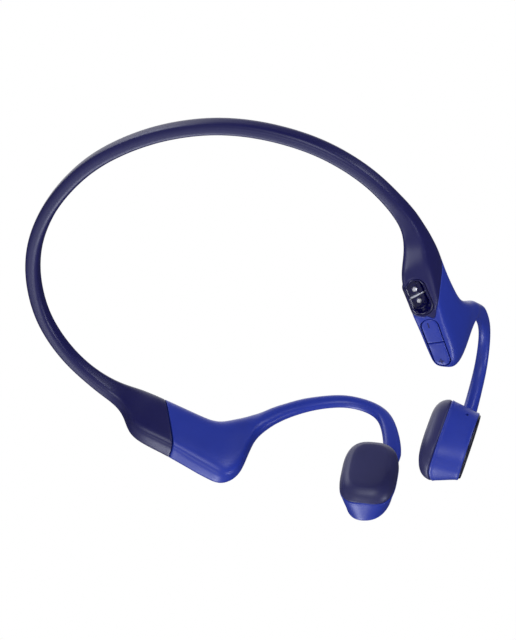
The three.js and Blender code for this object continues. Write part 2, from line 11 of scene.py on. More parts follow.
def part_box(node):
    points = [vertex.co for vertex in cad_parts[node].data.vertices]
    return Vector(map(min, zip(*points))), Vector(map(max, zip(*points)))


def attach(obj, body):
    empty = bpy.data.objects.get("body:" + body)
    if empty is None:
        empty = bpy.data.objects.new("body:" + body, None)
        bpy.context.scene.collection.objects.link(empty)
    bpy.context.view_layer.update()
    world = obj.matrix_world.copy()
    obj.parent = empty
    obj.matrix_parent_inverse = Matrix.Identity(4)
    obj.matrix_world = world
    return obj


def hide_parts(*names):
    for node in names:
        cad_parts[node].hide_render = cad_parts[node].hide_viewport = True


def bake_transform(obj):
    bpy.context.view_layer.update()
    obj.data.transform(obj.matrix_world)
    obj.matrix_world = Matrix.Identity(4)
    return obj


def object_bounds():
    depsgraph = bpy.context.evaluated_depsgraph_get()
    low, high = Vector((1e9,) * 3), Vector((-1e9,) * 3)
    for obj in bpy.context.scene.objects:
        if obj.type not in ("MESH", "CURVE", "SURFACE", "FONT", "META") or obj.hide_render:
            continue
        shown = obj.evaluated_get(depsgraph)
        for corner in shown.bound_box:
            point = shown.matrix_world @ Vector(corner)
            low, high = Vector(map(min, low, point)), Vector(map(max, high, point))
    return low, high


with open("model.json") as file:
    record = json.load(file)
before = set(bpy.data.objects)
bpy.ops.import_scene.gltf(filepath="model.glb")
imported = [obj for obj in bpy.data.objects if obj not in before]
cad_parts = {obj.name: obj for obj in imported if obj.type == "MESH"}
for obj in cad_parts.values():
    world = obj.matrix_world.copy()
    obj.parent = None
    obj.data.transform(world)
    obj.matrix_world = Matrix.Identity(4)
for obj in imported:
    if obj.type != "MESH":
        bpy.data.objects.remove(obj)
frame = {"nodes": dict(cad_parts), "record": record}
cad_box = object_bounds()

MM = 0.001
RIGHT, LEFT = 1, -1
NAME = {RIGHT: "right", LEFT: "left"}

# ---- Places taken from the frame -------------------------------------------------------------

# The arm is laid out in millimetres from the band's middle at the nape, as the CAD model is.
low, high = cad_box
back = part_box("band_sleeve_back")
BAND_HALF_WIDTH = 2.0
BAND_HALF_HEIGHTS = (2.1, -2.2)
ORIGIN = np.array([0.0, low.y / MM + BAND_HALF_WIDTH, back[1].z / MM - BAND_HALF_HEIGHTS[0]])

# Plan of the right half, from the nape forwards.
PLAN = [
    (14.3, 1.3), (28.3, 5.0), (41.5, 11.4), (52.4, 20.5), (60.9, 32.4), (65.0, 46.2), (64.3, 60.2),
    (61.7, 67.4), (54.9, 80.9), (48.5, 95.2), (45.6, 100.6), (41.7, 104.4), (36.0, 110.6),
    (28.6, 118.3), (21.3, 125.6), (16.6, 130.6), (14.2, 133.4),
]

# Stations of one arm: run and height of the upper edge, the same for the lower edge, half the
# thickness, and the tilt in degrees of the underside facet.
STATIONS = np.array([
    (0, 2.1, 0, -2.2, 2.0, 0),
    (22, 2.1, 22, -2.2, 2.0, 0),
    (44, 2.1, 44, -2.2, 2.0, 0),
    (70, 2.1, 70, -2.3, 2.0, 0),
    (92, 2.4, 92, -2.2, 2.05, 0),
    (100.3, 3.2, 100.2, -2.5, 2.15, 10),
    (106.0, 4.1, 105.6, -3.3, 2.3, 25),
    (109.6, 4.7, 109.6, -5.9, 2.7, 38),
    (112.1, 4.8, 112.6, -10.3, 3.2, 42),
    (114.8, 4.6, 116.8, -11.8, 3.9, 40),
    (118.0, 4.5, 126.9, -12.0, 4.1, 27),
    (127.0, 4.7, 133.0, -12.1, 4.1, 14),
    (134.6, 5.6, 139.2, -12.3, 4.2, 7),
    (139.6, 10.0, 144.2, -11.9, 4.0, 0),
    (142.3, 13.3, 147.4, -7.0, 3.2, 0),
    (144.2, 15.6, 147.4, 0.9, 2.7, 0),
    (147.0, 18.3, 147.9, 9.2, 2.4, 0),
    (151.0, 22.2, 153.1, 17.7, 1.95, 0),
    (158.2, 28.1, 161.4, 25.1, 1.65, 0),
    (169.6, 32.6, 170.8, 28.9, 1.65, 0),
    (182.3, 29.7, 179.5, 26.6, 1.8, 0),
    (190.1, 17.2, 184.7, 16.6, 1.95, 0),
    (191.0, 8.6, 184.9, 11.0, 2.0, 0),
], float)
SEAM = 10.0
POD_START = 8.0
HOOK_ROUNDS = (12, 16)
HOOK_END = 22.0
# The underside facet starts this many half thicknesses from the middle, and rounds off softly.
UNDERSIDE_TOE = 0.85
CORNER_POWER = 10
FULL_FACET_TILT = 6
UNDERSIDE_SHARE = {RIGHT: 1.0, LEFT: 0.2}
# On the underside facet the seam bulges forwards, round the front end of the charging port.
# Its height and its reach along the arm are in stations.
BULGE = 0.42
BULGE_SPAN = 0.8
BULGE_MIDDLE = math.radians(-64)
BULGE_WIDTH = math.radians(30)

POD_RUN = 122.8
POD_YAW = math.radians(25.4)
KEYS = {"at": (0.35, 13.4, -11.25), "tilt": math.radians(11), "length": 15.2, "width": 4.6}
PORT = {"at": (-0.35, -1.5, -9.35), "tilt": math.radians(38), "length": 11.2, "width": 5.8}

EAR = np.array([14.8, 126.0, -0.05])
EAR_YAW = math.radians(43.5)
EAR_ROLL = math.radians(8.8)
EAR_HALF = (8.25, 11.8)
EAR_POWER = (3.0, 2.3)
CUP_DEPTH = 7.85
RIM_DIP = 1.1
RIM_DIP_POWER = 1.3
BACK_LEAN = 0.136
MIC = np.array([6.69, 5.98, -6.29])
MIC_TURN = math.radians(17.5)


# ---- Curves ----------------------------------------------------------------------------------

def lengths_along(points):
    """The length of a path of points from its start up to each of them."""
    return np.r_[0, np.cumsum(np.linalg.norm(np.diff(points, axis=0), axis=1))]


def hermite(points, knots, at):
    """A smooth curve through points at knots, with the tangents of a Catmull-Rom spline."""
    points, knots, at = np.asarray(points, float), np.asarray(knots, float), np.asarray(at, float)
    before = np.vstack([2 * points[0] - points[1], points, 2 * points[-1] - points[-2]])
    k = np.r_[2 * knots[0] - knots[1], knots, 2 * knots[-1] - knots[-2]]
    step = np.diff(k)[:, None]
    slope = np.diff(before, axis=0) / step
    tangent = (slope[:-1] * step[1:] + slope[1:] * step[:-1]) / (step[1:] + step[:-1])
    i = np.clip(np.searchsorted(knots, at, side="right") - 1, 0, len(points) - 2)
    h = (knots[i + 1] - knots[i])[..., None]
    u = ((at - knots[i]) / h[..., 0])[..., None]
    return ((2 * u**3 - 3 * u**2 + 1) * points[i] + (u**3 - 2 * u**2 + u) * h * tangent[i]
            + (-2 * u**3 + 3 * u**2) * points[i + 1] + (u**3 - u**2) * h * tangent[i + 1])


def plan_table():
    """The plan curve as a fine table of run, x and y, with run measured from the nape."""
    right = np.array(PLAN)
    points = np.vstack([right[::-1] * [-1, 1], [[0, 0]], right])
    knots = np.r_[0, np.cumsum(np.sqrt(np.linalg.norm(np.diff(points, axis=0), axis=1)))]
    fine = hermite(points, knots, np.linspace(0, knots[-1], 4001))
    run = lengths_along(fine)
    return run - run[-1] / 2, fine


RUN, XY = plan_table()


def plan_at(run):
    return np.stack([np.interp(run, RUN, XY[:, 0]), np.interp(run, RUN, XY[:, 1])], -1)


def heading_at(run, step=0.6):
    d = plan_at(run + step) - plan_at(run - step)
    return d / np.linalg.norm(d, axis=-1, keepdims=True)


def smoothstep(x, a, b):
    u = np.clip((np.asarray(x, float) - a) / (b - a), 0, 1)
    return u * u * (3 - 2 * u)


def mix(a, b, k):
    return a + (b - a) * k


def station_values(t):
    values = hermite(STATIONS, np.arange(len(STATIONS)), np.asarray(t, float))
    values[..., 5] = np.maximum(values[..., 5], 0)
    return values


BAND_SQUARENESS = 3.2
POD_MORE = 0.5
HOOK_LESS = 1.3


def squareness(t):
    """How square the section is: 2 is an ellipse."""
    pod = smoothstep(t, POD_START - 2, POD_START)
    hook = smoothstep(t, *HOOK_ROUNDS)
    return BAND_SQUARENESS + POD_MORE * pod - HOOK_LESS * hook


def rounded(w, h, power, angle):
    c, s = np.cos(angle), np.sin(angle)
    return (w * np.sign(c) * np.abs(c) ** (2 / power), h * np.sign(s) * np.abs(s) ** (2 / power))


def even_angles(count, power=4.0):
    """Angles whose points are about evenly spaced round a rounded square, corners included."""
    fine = np.linspace(0, 2 * np.pi, 4001)
    x, y = rounded(1, 1, power, fine)
    length = np.r_[0, np.cumsum(np.hypot(np.diff(x), np.diff(y)))]
    return np.interp(np.arange(count) / count * length[-1], length, fine)


def mirror(points, side):
    return points * [side, 1, 1]


def ribbon_points(t, angle, side, shrink=0.0):
    """Points of the arm's surface in row millimetres, for stations t and section angles."""
    t, angle = np.broadcast_arrays(np.asarray(t, float), np.asarray(angle, float))
    near = np.exp(-((t - SEAM) / BULGE_SPAN) ** 2)
    around = np.exp(-2 * (1 - np.cos(angle - BULGE_MIDDLE)) / BULGE_WIDTH**2)
    t = t + BULGE * UNDERSIDE_SHARE[side] * near * around
    su, zu, sl, zl, half, tilt = np.moveaxis(station_values(t), -1, 0)
    height = np.hypot(su - sl, zu - zl) / 2
    axis_s, axis_z = (su - sl) / (2 * height), (zu - zl) / (2 * height)
    w, h = half - shrink, height - shrink
    o, p = rounded(w, h, squareness(t), angle)
    tilt = tilt * UNDERSIDE_SHARE[side]
    slope = np.tan(np.radians(tilt))
    limit = -h + UNDERSIDE_TOE * w * slope
    reach = p - o * slope
    # A soft corner where the tilted underside meets the rest of the section.
    ratio = np.where(reach < 0, reach / limit, 0)
    k = (1 + np.maximum(ratio, 0) ** CORNER_POWER) ** (-1 / CORNER_POWER)
    k = mix(1, np.where(slope > 0, k, 1), smoothstep(tilt, 0, FULL_FACET_TILT))
    o, p = o * k, p * k
    run = (su + sl) / 2 + axis_s * p
    base, heading = plan_at(run), heading_at(run)
    x = base[..., 0] + heading[..., 1] * o
    y = base[..., 1] - heading[..., 0] * o
    z = (zu + zl) / 2 + axis_z * p
    return mirror(np.stack([x, y, z], -1), side) + ORIGIN


# ---- Meshes ----------------------------------------------------------------------------------

def new_piece(name, vertices, faces, finish):
    mesh = bpy.data.meshes.new(name)
    mesh.from_pydata([tuple(v) for v in np.asarray(vertices) * MM], [], faces)
    bm = bmesh.new()
    bm.from_mesh(mesh)
    bmesh.ops.remove_doubles(bm, verts=bm.verts, dist=1e-7)
    bmesh.ops.recalc_face_normals(bm, faces=bm.faces)
    bm.to_mesh(mesh)
    bm.free()
    for polygon in mesh.polygons:
        polygon.use_smooth = True
    mesh.materials.append(finish)
    piece = bpy.data.objects.new(name, mesh)
    bpy.context.scene.collection.objects.link(piece)
    sharpen(piece)
    return piece


def lofted(name, rings, finish, looped=False):
    """A closed skin over rings of points, capped at both ends or looped back to its start."""
    rings = np.asarray(rings)
    count, sides = rings.shape[:2]
    vertices = rings.reshape(-1, 3)
    faces = []
    for i in range(count if looped else count - 1):
        low, high = i * sides, (i + 1) % count * sides
        for j in range(sides):
            k = (j + 1) % sides
            faces.append((low + j, low + k, high + k, high + j))
    for ring in () if looped else (0, count - 1):
        vertices = np.vstack([vertices, rings[ring].mean(0)])
        centre = len(vertices) - 1
        start = ring * sides
        faces += [(start + j, start + (j + 1) % sides, centre) for j in range(sides)]
    return new_piece(name, vertices, faces, finish)


def sharpen(piece, angle=math.radians(42)):
    """Smooth shading except across hard edges."""
    piece.data.set_sharp_from_angle(angle=angle)


def cut(piece, tool):
    """Takes a closed tool out of a closed piece."""
    modifier = piece.modifiers.new("cut", "BOOLEAN")
    modifier.operation = "DIFFERENCE"
    modifier.solver = "EXACT"
    modifier.object = tool
    graph = bpy.context.evaluated_depsgraph_get()
    piece.data = bpy.data.meshes.new_from_object(piece.evaluated_get(graph))
    piece.modifiers.clear()
    bpy.data.objects.remove(tool)
    sharpen(piece)


def even_outline(outline, count):
    """Evenly spaced points along a closed outline whose last point repeats the first."""
    length = lengths_along(outline)
    at = np.arange(count) / count * length[-1]
    return np.stack([np.interp(at, length, outline[:, i]) for i in (0, 1)], -1)


def crosswise(outline):
    """The outline turned to lie across, still running the same way round."""
    return outline[::-1, ::-1]


def half_turn(radius, y):
    angle = np.linspace(0, np.pi, 41)
    return np.stack([radius * np.cos(angle), y + radius * np.sin(angle)], -1)


def stadium(length, width, count=120):
    """A bar with round ends, lengthwise along Y."""
    end = half_turn(width / 2, (length - width) / 2)
    return even_outline(np.vstack([end, -end, end[:1]]), count)


def half_stadium(length, width, gap, count=110):
    """The front half of that bar, with a straight rear edge half a gap from the middle."""
    end = half_turn(width / 2, (length - width) / 2)
    corners = [(-width / 2, gap / 2), (width / 2, gap / 2)]
    return even_outline(np.vstack([end, corners, end[:1]]), count)


def inset(outline, distance):
    """The outline moved inwards; a negative distance moves it outwards."""
    along = np.roll(outline, -1, axis=0) - np.roll(outline, 1, axis=0)
    along /= np.linalg.norm(along, axis=1, keepdims=True)
    outwards = np.stack([along[:, 1], -along[:, 0]], -1)
    return outline - outwards * distance


PROBE = 5.0


class Surface:
    """A skin seen along the axis of a facet frame, to lay small pieces on."""

    def __init__(self, frame_matrix, *pieces):
        corners, faces = [], []
        for piece in pieces:
            first = len(corners)
            corners += [v.co.copy() for v in piece.data.vertices]
            faces += [[first + v for v in p.vertices] for p in piece.data.polygons]
        self.tree = BVHTree.FromPolygons(corners, faces)
        self.frame = frame_matrix
        self.axis = (frame_matrix.to_3x3() @ Vector((0, 0, 1))).normalized()

    def point(self, x, y):
        """The skin's point under a facet point, or the nearest where the facet overhangs it."""
        start = self.frame @ Vector((x, y, PROBE))
        hit = self.tree.ray_cast(start * MM, -self.axis)[0]
        if hit is None:
            hit = self.tree.find_nearest(self.frame @ Vector((x, y, 0)) * MM)[0]
        return hit / MM

    def ring(self, outline, drop):
        """Row millimetres of an outline laid on the skin and sunk by a drop."""
        return np.array([tuple(self.point(x, y) - self.axis * drop) for x, y in outline])

    def flat_ring(self, outline, z):
        return np.array([tuple(self.frame @ Vector((x, y, z))) for x, y in outline])


TOP_RINGS = (0.8, 0.5, 0.2)


def laid(name, surface, outline, steps, finish, bottom=None):
    """A piece laid on a skin, by steps of inset and drop from its foot up over its edge."""
    rings = []
    if bottom is not None:
        rings.append(surface.flat_ring(inset(outline, steps[0][0]), bottom))
    rings += [surface.ring(inset(outline, i), drop) for i, drop in steps]
    last = inset(outline, steps[-1][0])
    middle = last.mean(0)
    rings += [surface.ring(middle + (last - middle) * k, steps[-1][1]) for k in TOP_RINGS]
    return lofted(name, rings, finish)


def run_stations(start, end, spacing):
    """Stations from start to end, about evenly spaced along the arm."""
    fine = np.linspace(start, end, 3000)
    v = station_values(fine)
    middle = (v[:, [0, 1]] + v[:, [2, 3]]) / 2
    longer_edge = np.maximum(lengths_along(v[:, [0, 1]]), lengths_along(v[:, [2, 3]]))
    length = (longer_edge + lengths_along(middle)) / 2
    count = max(2, int(round(length[-1] / spacing)))
    return np.interp(np.linspace(0, length[-1], count + 1), length, fine)


LIP_RADIUS = 0.22
LIP_START = 0.035
LIP_LENGTH = 0.03


def lip_rings(end, inwards):
    """Rings of a small rounded lip: its station and how far it draws in, from the skin to the end."""
    turns = np.linspace(0, math.pi / 2, 5)
    lip = [(end + inwards * (LIP_START - LIP_LENGTH * math.sin(a)), LIP_RADIUS * (1 - math.cos(a)))
           for a in turns]
    return lip + [(end, LIP_RADIUS * 3)]


def with_lip(stations, at_start=False, at_end=False):
    """Rings for a skin, with a lip at an end that meets another piece."""
    rings = [(t, 0.0) for t in stations]
    if at_end:
        rings = rings[:-1] + lip_rings(stations[-1], -1)
    if at_start:
        rings = lip_rings(stations[0], 1)[::-1] + rings[1:]
    return rings


ANGLES = even_angles(72)


def faired(points, ends=8, rounds=8):
    """Smooths rings along the arm, leaving the ones near both ends where they are."""
    points = np.array(points)
    for _ in range(rounds):
        middle = (points[:-2] + 2 * points[1:-1] + points[2:]) / 4
        points[ends:-ends] = middle[ends - 1:1 - ends]
    return points


def ribbon_skin(name, side, rings, finish):
    points = [ribbon_points(t, ANGLES, side, shrink) for t, shrink in rings]
    return lofted(name, faired(points), finish)


# ---- Materials -------------------------------------------------------------------------------

def srgb(r, g, b):
    def linear(c):
        c /= 255
        return c / 12.92 if c <= 0.04045 else ((c + 0.055) / 1.055) ** 2.4
    return (linear(r), linear(g), linear(b), 1)


MOTTLE_SCALE = 55
GRAIN_DEPTH = 0.00003
COAT_ROUGHNESS = 0.15


def material(name, color, rough, metallic=0.0, grain=0.0, grain_size=0.0002, mottle=0.06,
             coat=0.0, rough_spread=0.06):
    """Principled plastic, rubber or metal with colour mottle, roughness variation and grain."""
    mat = bpy.data.materials.new(name)
    mat.use_nodes = True
    nodes, links = mat.node_tree.nodes, mat.node_tree.links
    shader = nodes["Principled BSDF"]
    shader.inputs["Metallic"].default_value = metallic
    shader.inputs["Coat Weight"].default_value = coat
    shader.inputs["Coat Roughness"].default_value = COAT_ROUGHNESS
    where = nodes.new("ShaderNodeTexCoord")

    broad = nodes.new("ShaderNodeTexNoise")
    broad.inputs["Scale"].default_value = MOTTLE_SCALE
    broad.inputs["Detail"].default_value = 4
    links.new(where.outputs["Object"], broad.inputs["Vector"])
    ramp = nodes.new("ShaderNodeMapRange")
    ramp.inputs["From Min"].default_value = 0.3
    ramp.inputs["From Max"].default_value = 0.7
    ramp.inputs["To Min"].default_value = 1 - mottle
    ramp.inputs["To Max"].default_value = 1 + mottle
    links.new(broad.outputs["Fac"], ramp.inputs["Value"])
    tint = nodes.new("ShaderNodeVectorMath")
    tint.operation = "SCALE"
    tint.inputs[0].default_value = color[:3]
    links.new(ramp.outputs["Result"], tint.inputs["Scale"])
    links.new(tint.outputs["Vector"], shader.inputs["Base Color"])

    soft = nodes.new("ShaderNodeMapRange")
    soft.inputs["To Min"].default_value = rough - rough_spread
    soft.inputs["To Max"].default_value = rough + rough_spread
    links.new(broad.outputs["Fac"], soft.inputs["Value"])
    links.new(soft.outputs["Result"], shader.inputs["Roughness"])
    if grain > 0:
        fine = nodes.new("ShaderNodeTexNoise")
        fine.inputs["Scale"].default_value = 1 / grain_size
        fine.inputs["Detail"].default_value = 3
        links.new(where.outputs["Object"], fine.inputs["Vector"])
        bump = nodes.new("ShaderNodeBump")
        bump.inputs["Strength"].default_value = grain
        bump.inputs["Distance"].default_value = GRAIN_DEPTH
        links.new(fine.outputs["Fac"], bump.inputs["Height"])
        links.new(bump.outputs["Normal"], shader.inputs["Normal"])
    return mat


NAVY = material("navy_silicone", srgb(28, 27, 88), 0.4, grain=0.1, grain_size=0.00016)
BLUE = material("blue_shell", srgb(42, 62, 172), 0.38, grain=0.08, grain_size=0.00014)
PAD = material("pad_silicone", srgb(52, 52, 100), 0.42, grain=0.1, grain_size=0.00016)
COVER = material("cover_plastic", srgb(16, 16, 50), 0.3, grain=0.1, grain_size=0.0002)
PORT_GLOSS = material("port_plastic", srgb(8, 6, 70), 0.12, rough_spread=0.03, coat=0.3)
# Painted shade: a dark finish for the bed sunk under the keys, standing in for the shade in the gaps
# round them.
PAINTED_RECESS_SHADE = material("recess_shadow", srgb(14, 14, 60), 0.6)
MARK = material("key_marks", srgb(18, 22, 90), 0.5)
PLATED = material("plated_metal", srgb(244, 244, 248), 0.45, metallic=1, mottle=0.03)
STEEL = material("steel", srgb(226, 228, 234), 0.45, metallic=1, mottle=0.04)
TITANIUM = material("titanium", srgb(150, 150, 154), 0.38, metallic=1, mottle=0.05)
COPPER = material("copper", srgb(184, 106, 60), 0.35, metallic=1, mottle=0.08)
FERRITE = material("ferrite", srgb(60, 60, 66), 0.5, metallic=0.6, grain=0.3)
JACKET = material("cable_jacket", srgb(26, 26, 28), 0.6, grain=0.2)
BOARD = material("circuit_board", srgb(20, 84, 46), 0.45, grain=0.1)
RESIN = material("chip_resin", srgb(20, 20, 22), 0.5, grain=0.3)
CERAMIC = material("ceramic", srgb(218, 218, 208), 0.5, mottle=0.03)
FOIL = material("battery_foil", srgb(168, 171, 176), 0.35, metallic=0.8, grain=0.3,
                grain_size=0.0008)
FOAM = material("foam", srgb(44, 44, 46), 0.9, grain=0.8, grain_size=0.0003)
BY_SLOT = {
    "navy_silicone": NAVY, "blue_shell": BLUE, "pad_silicone": PAD, "cover_plastic": COVER,
    "port_plastic": PORT_GLOSS, "plated_metal": PLATED, "steel": STEEL, "titanium": TITANIUM,
    "copper": COPPER, "ferrite": FERRITE, "cable_jacket": JACKET, "circuit_board": BOARD,
    "chip_resin": RESIN, "ceramic": CERAMIC, "battery_foil": FOIL, "foam": FOAM,
}

# Every CAD node that stays takes its slot's finish.
slot_of = {row["node"]: row["material_slot"] for row in frame["record"]["subparts"]}
for node, piece in frame["nodes"].items():
    piece.data.materials.clear()
    piece.data.materials.append(BY_SLOT[slot_of[node]])


# ---- Band and pods' dark socks, front shells and hooks -----------------------------------------


SEAM_GAP = 0.02
BAND_SPACING = 1.0
HOOK_SPACING = 0.7
skins = {}
for side in (RIGHT, LEFT):
    name = NAME[side]
    rings = with_lip(run_stations(0, SEAM - SEAM_GAP, BAND_SPACING), at_end=True)
    sleeve = ribbon_skin(f"{name}_band_skin", side, rings, NAVY)
    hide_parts(f"{name}_sleeve", "band_sleeve_back")
    skins[sleeve.name] = sleeve

    rings = with_lip(run_stations(SEAM + SEAM_GAP, HOOK_END, HOOK_SPACING), at_start=True)
    skin = ribbon_skin(f"{name}_front_skin", side, rings, BLUE)
    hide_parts(f"{name}_front_shell", f"{name}_hook_skin")
    skins[skin.name] = skin


# ---- Charging port -----------------------------------------------------------------------------

def facet_frame(feature):
    """Local millimetres of a facet on the right pod: Y forward along it and Z out of it."""
    x, y = plan_at(POD_RUN)
    pod = Matrix.Translation(Vector((x, y, 0)) + Vector(tuple(ORIGIN)))
    turn = Matrix.Rotation(POD_YAW, 4, "Z")
    tilt = Matrix.Rotation(math.pi - feature["tilt"], 4, "Y")
    return pod @ turn @ Matrix.Translation(feature["at"]) @ tilt


def prism(name, frame_matrix, outline, bottom, top):
    rings = [[tuple(frame_matrix @ Vector((x, y, z))) for x, y in outline] for z in (bottom, top)]
    return lofted(name, rings, PAINTED_RECESS_SHADE)


def on_arm(piece, slot, *nodes, body="right_arm"):
    if nodes:
        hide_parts(*nodes)
    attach(piece, body)


TOOL_TOP = 4
PORT_CUT = -2.8
PORT_CLEARANCE = 0.04
KEY_CUT = -2.3
KEY_CLEARANCE = 0.3
arm_skins = [skins["right_band_skin"], skins["right_front_skin"]]
port_face = Surface(facet_frame(PORT), *arm_skins)
key_face = Surface(facet_frame(KEYS), *arm_skins)
port_outline = stadium(PORT["length"], PORT["width"])
key_outline = stadium(KEYS["length"], KEYS["width"])
for skin in arm_skins:
    port_tool = inset(port_outline, -PORT_CLEARANCE)
    cut(skin, prism("tool", port_face.frame, port_tool, PORT_CUT, TOOL_TOP))
    key_tool = inset(key_outline, -KEY_CLEARANCE)
    cut(skin, prism("tool", key_face.frame, key_tool, KEY_CUT, TOOL_TOP))

# Profiles are steps of inset and drop, or of inset and height where they aren't on the skin.
LIP_PROFILE = [(-0.04, 0.9), (-0.62, 0.2), (-0.62, 0.02), (-0.5, -0.05), (-0.35, -0.11),
               (-0.2, -0.12), (-0.08, -0.06), (-0.04, 0.1), (-0.04, 0.9)]
lip_loop = [port_face.ring(inset(port_outline, i), drop) for i, drop in LIP_PROFILE]
lip = lofted("port_lip", lip_loop, NAVY, looped=True)
on_arm(lip, "navy_silicone")

FLOOR = -1.3
TRAY_DEPTH = 0.8
TRAY_RIM = [(0.0, 0.9), (0.0, 0.25), (0.04, 0.08), (0.14, -0.02), (0.3, -0.04), (0.46, 0.02),
            (0.58, 0.16), (0.64, 0.4)]
TRAY_WALL = [(0.7, FLOOR + 0.3), (0.74, FLOOR + 0.12), (0.84, FLOOR + 0.03), (1.0, FLOOR)]
tray_rings = [port_face.flat_ring(port_outline, FLOOR - TRAY_DEPTH)]
tray_rings += [port_face.ring(inset(port_outline, i), drop) for i, drop in TRAY_RIM]
tray_rings += [port_face.flat_ring(inset(port_outline, i), z) for i, z in TRAY_WALL]
tray_rings += [port_face.flat_ring(port_outline * k, FLOOR) for k in (0.5, 0.25)]
tray = lofted("port_tray", tray_rings, PORT_GLOSS)
on_arm(tray, "port_plastic", "charging_port")

CONTACT_PITCH = 4.0
CONTACT = 1.4
CONTACT_STEPS = [(0.0, -0.2), (0.0, 0.45), (0.05, 0.52), (0.2, 0.58), (0.4, 0.61)]
LEDGE_MARGIN = 1.8
LEDGE_SIDE = -0.85
LEDGE_FRONT = 4.2
LEDGE_STEPS = [(0.0, -0.1), (0.0, 0.3), (0.06, 0.4), (0.2, 0.44)]
BAR_LENGTH = 4.2
BAR_WIDTH = 0.46
BAR_STEPS = [(0.0, 0.1), (0.0, 0.55), (0.05, 0.62), (0.12, 0.65)]
NEARLY_ROUND = 0.9999


def on_floor(name, outline, steps, finish, *nodes, slot):
    """A small piece that stands on the port's floor."""
    rings = [port_face.flat_ring(inset(outline, i), FLOOR + rise) for i, rise in steps]
    last = inset(outline, steps[-1][0])
    middle = last.mean(0)
    rings += [port_face.flat_ring(middle + (last - middle) * 0.4, FLOOR + steps[-1][1])]
    piece = lofted(name, rings, finish)
    on_arm(piece, slot, *nodes)


ledge = stadium(PORT["length"] - LEDGE_MARGIN, PORT["width"] - LEDGE_MARGIN)
ledge = np.clip(ledge, [-PORT["width"], -LEDGE_FRONT], [LEDGE_SIDE, LEDGE_FRONT])
ledge = even_outline(np.vstack([ledge, ledge[:1]]), 120)
on_floor("port_ledge", ledge, LEDGE_STEPS, PORT_GLOSS, slot="port_plastic")
for name, end in (("rear_contact", -1), ("front_contact", 1)):
    disc = stadium(CONTACT, CONTACT * NEARLY_ROUND, 48) + [0, end * CONTACT_PITCH / 2]
    on_floor(f"{name}_pin", disc, CONTACT_STEPS, PLATED, name, slot="plated_metal")
bar = crosswise(stadium(BAR_LENGTH, BAR_WIDTH, 48))
on_floor("port_bar_rounded", bar, BAR_STEPS, STEEL, "port_bar", slot="steel")


# ---- Volume keys -------------------------------------------------------------------------------

KEY_GAP = 0.3
KEY_BED = (-2.35, -1.9)
KEY_BED_MARGIN = 0.25
# The key bed is a dark plate of painted shade under the keys, so that the gaps round them read dark.
bed = prism("key_bed", key_face.frame, inset(key_outline, -KEY_BED_MARGIN), *KEY_BED)
on_arm(bed, "blue_shell")

KEY_FOOT = -1.0
KEY_EDGE = [(0.0, 0.5), (0.0, 0.35), (0.04, 0.18), (0.13, 0.07), (0.28, 0.02), (0.5, 0.0)]
MARK_EDGE = [(0.0, 0.1), (0.0, -0.02), (0.04, -0.05), (0.09, -0.06)]
MARK_PLACE = (0.2, 5.9)
MARK_BAR = (1.7, 0.34)
forward = half_stadium(KEYS["length"], KEYS["width"], KEY_GAP)
along = stadium(*MARK_BAR, 40)
for key, end in (("volume_down", -1), ("volume_up", 1)):
    outline = forward if end > 0 else -forward
    cap = laid(f"{key}_cap", key_face, outline, KEY_EDGE, BLUE, bottom=KEY_FOOT)
    on_arm(cap, "blue_shell", f"{key}_key", body=key)
    marks = [along] if end < 0 else [along, crosswise(along)]
    for number, mark in enumerate(marks):
        place = [MARK_PLACE[0], end * MARK_PLACE[1]]
        shape = laid(f"{key}_mark_{number}", key_face, mark + place, MARK_EDGE, MARK)
        on_arm(shape, "blue_shell", body=key)


# ---- Placement of the band and hook skins baked into their meshes, once they are cut ------------

for side in (RIGHT, LEFT):
    name = NAME[side]
    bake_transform(skins[f"{name}_band_skin"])
    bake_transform(skins[f"{name}_front_skin"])


# ---- Transducers -------------------------------------------------------------------------------

def ear_matrix(side):
    """Local millimetres of a transducer to row millimetres: X across, Y up the pad, Z out of it."""
    facing = Vector((-side * math.sin(EAR_YAW), -math.cos(EAR_YAW), 0))
    up = Vector((0, 0, 1))
    across = up.cross(facing)
    turn = Matrix((across, up, facing)).transposed().to_4x4()
    place = Vector(tuple(EAR * [side, 1, 1] + ORIGIN))
    return Matrix.Translation(place) @ turn @ Matrix.Rotation(-side * EAR_ROLL, 4, "Z")


def in_matrix(points, matrix):
    m = np.array(matrix)
    return points @ m[:3, :3].T + m[:3, 3]


EAR_ANGLES = even_angles(112, 3.0)


def dish_rings(profile):
    """Rings from entries of inset x, inset y, z, share of the rim's dip and of the back's lean."""
    rings = []
    for inset_x, inset_y, z, dip, lean in profile:
        power = mix(*EAR_POWER, min(max(-z / CUP_DEPTH, 0), 1))
        x, y = rounded(EAR_HALF[0] - inset_x, EAR_HALF[1] - inset_y, power, EAR_ANGLES)
        dipped = dip * RIM_DIP * (np.abs(x) / EAR_HALF[0]) ** RIM_DIP_POWER
        rings.append(np.stack([x, y, z - dipped - lean * BACK_LEAN * x], -1))
    return np.array(rings)


def smooth_profile(points, count):
    """A finer profile through the given points, evenly spaced along its length."""
    points = np.array(points, float)
    knots = lengths_along(points[:, :3])
    return hermite(points, knots, np.linspace(0, knots[-1], count))


def dish(name, side, profile, finish):
    rings = in_matrix(dish_rings(profile) * [side, 1, 1], ear_matrix(side))
    return lofted(name, rings, finish)


def mic_bar(name, radius, bottom, top):
    """A round bar out through the side of the right housing, where the microphone listens."""
    out = np.array([math.cos(MIC_TURN), math.sin(MIC_TURN), 0])
    across = np.array([-out[1], out[0], 0])
    circle = stadium(2 * radius, 1.9999 * radius, 32)
    flat = circle[:, :1] * across + circle[:, 1:] * [0, 0, 1]
    rings = [MIC + flat + out * d for d in (bottom, top)]
    return lofted(name, in_matrix(np.array(rings), ear_matrix(RIGHT)), COVER)


MIC_RADIUS = 0.45
MIC_REACH = 1.6
MIC_MESH = (-1.5, -0.5)

